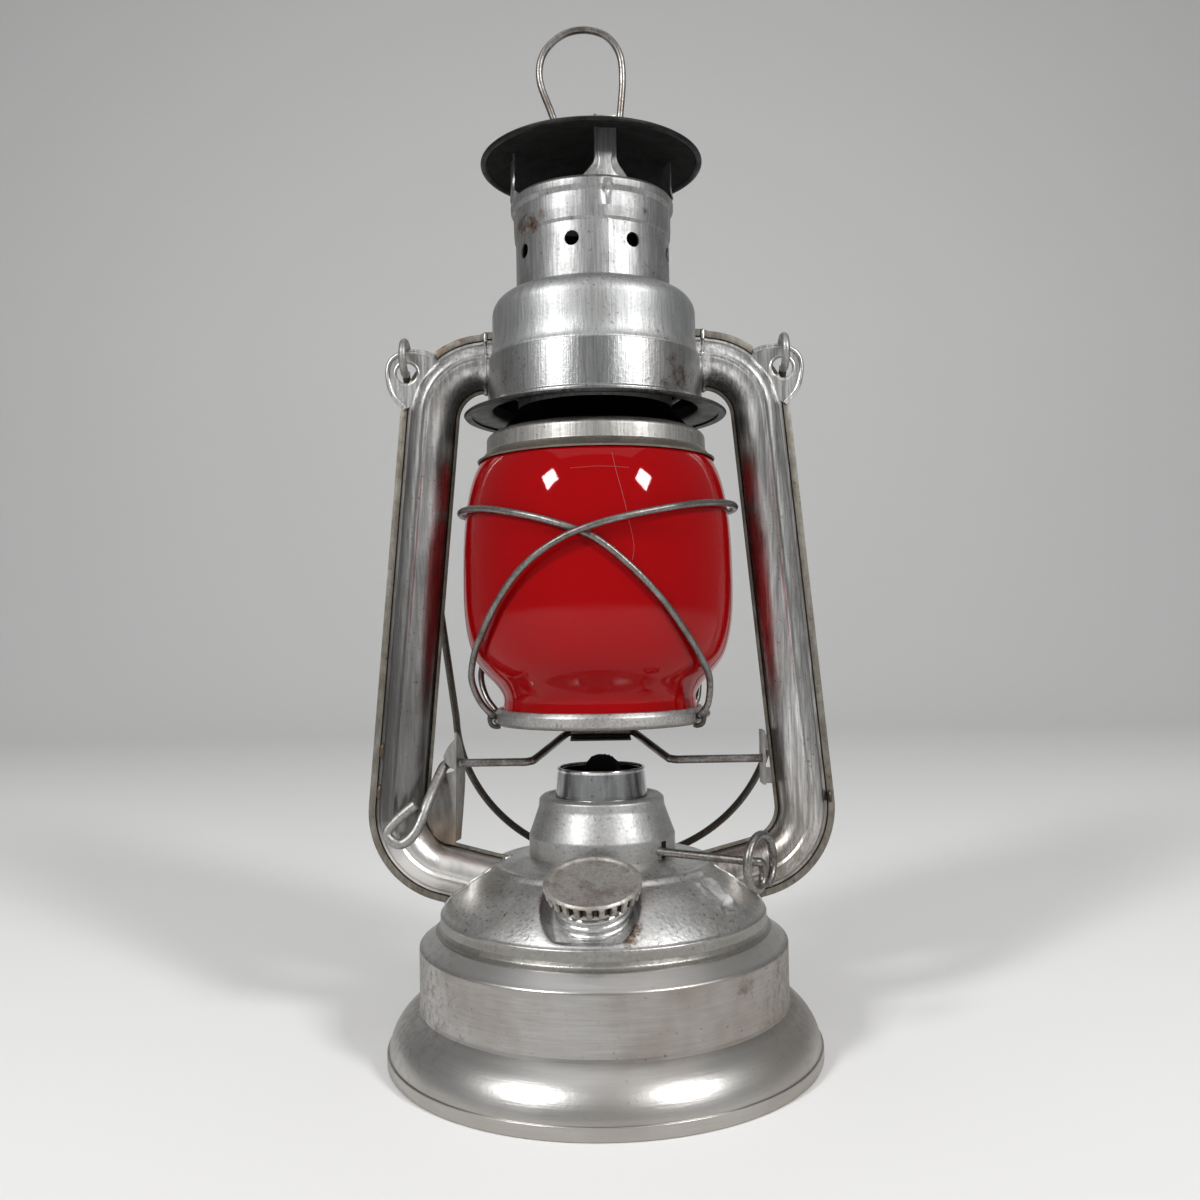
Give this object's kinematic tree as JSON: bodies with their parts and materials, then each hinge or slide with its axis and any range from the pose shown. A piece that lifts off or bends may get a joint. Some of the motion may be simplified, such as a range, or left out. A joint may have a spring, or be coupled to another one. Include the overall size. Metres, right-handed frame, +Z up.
{
  "type": "hurricane lantern",
  "caption": "Tubular oil lantern with a raised red globe on a wire lifter, side air tubes, flared tank, screw filler cap, wick winder, sprung chimney and wire bail.",
  "frame": {"origin": "centre of the foot, on the ground", "axes": "+Z up, -Y towards the front with the filler cap, +X towards the side of the wick winder"},
  "size_m": [0.1494, 0.137, 0.3304],
  "materials": {
    "tinned_steel": "aged satin tinplate, finely brushed, with dark specks and rust spots",
    "dark_wire": "dull, darkened wire and bracket steel",
    "sooty_steel": "blackened by soot",
    "red_glass": "glossy ruby red",
    "charred_wick": "charred cotton",
    "gasket": "matt",
    "tan_cap": "dull, tan",
    "bright_cap": "polished"
  },
  "bodies": {
    "frame": {"tank_shell": "tinned_steel", "tank_bottom": "tinned_steel", "tank_top": "tinned_steel", "air_dome": "tinned_steel", "filler_neck": "tinned_steel", "burner_collar": "tinned_steel", "burner_deck": "dark_wire", "burner_cap": "bright_cap", "wick_tube": "dark_wire", "left_tube_front": "tinned_steel", "left_tube_back": "tinned_steel", "right_tube_front": "tinned_steel", "right_tube_back": "tinned_steel", "left_bracket": "dark_wire", "right_bracket": "dark_wire", "chamber_band": "tinned_steel", "chamber_dome": "tinned_steel", "chamber_flange": "sooty_steel", "chimney_spring": "dark_wire"},
    "lifter": {"lifter": "dark_wire"},
    "globe_carriage": {"globe_plate": "tinned_steel", "lifter_clip": "sooty_steel", "guard_left": "dark_wire", "guard_right": "dark_wire", "globe": "red_glass"},
    "chimney": {"globe_cap": "tinned_steel", "chimney": "tinned_steel", "hood_spider": "tinned_steel", "hood": "sooty_steel", "pull_ring": "dark_wire"},
    "winder": {"winder": "dark_wire", "spur_wheels": "dark_wire"},
    "wick": {"wick": "charred_wick"},
    "cap_seal": {"cap_gasket": "gasket"},
    "filler_cap": {"filler_cap": "tan_cap"},
    "bail": {"bail": "dark_wire"}
  },
  "joints": [
    {"name": "lifter_turn", "type": "hinge", "parent": "frame", "child": "lifter", "pos_m": [0, 0, 0.091], "axis": [1, 0, 0], "range_deg": [-22.6, 0]},
    {"name": "globe_lift", "type": "slide", "parent": "frame", "child": "globe_carriage", "axis": [0, 0, 1], "range_m": [-0.0105, 0]},
    {"name": "chimney_lift", "type": "slide", "parent": "globe_carriage", "child": "chimney", "axis": [0, 0, 1], "range_m": [0, 0.006], "stiffness_N_per_m": 300, "springref_m": -0.01, "deforming": ["chimney_spring"]},
    {"name": "winder_turn", "type": "hinge", "parent": "frame", "child": "winder", "pos_m": [-0.00172, -0.00264, 0.0646], "axis": [0.8387, -0.5446, 0], "range_deg": [-115, 115]},
    {"name": "wick_rise", "type": "slide", "parent": "frame", "child": "wick", "axis": [0, 0, 1], "range_m": [-0.006, 0.006]},
    {"name": "cap_rise", "type": "slide", "parent": "frame", "child": "cap_seal", "axis": [-0.0244, -0.3329, 0.9426], "range_m": [0, 0.005]},
    {"name": "cap_turn", "type": "hinge", "parent": "cap_seal", "child": "filler_cap", "pos_m": [-0.00297, -0.04049, 0.0618], "axis": [-0.0244, -0.3329, 0.9426], "range_deg": [0, 720]},
    {"name": "bail_swing", "type": "hinge", "parent": "frame", "child": "bail", "pos_m": [0, 0, 0.2221], "axis": [1, 0, 0], "range_deg": [0, 240]}
  ],
  "couplings": [
    {"joint": "lifter_turn", "follows": "globe_lift", "rad_per_m": 37.5},
    {"joint": "winder_turn", "follows": "wick_rise", "rad_per_m": 333.3},
    {"joint": "cap_turn", "follows": "cap_rise", "rad_per_m": 2513.3}
  ]
}
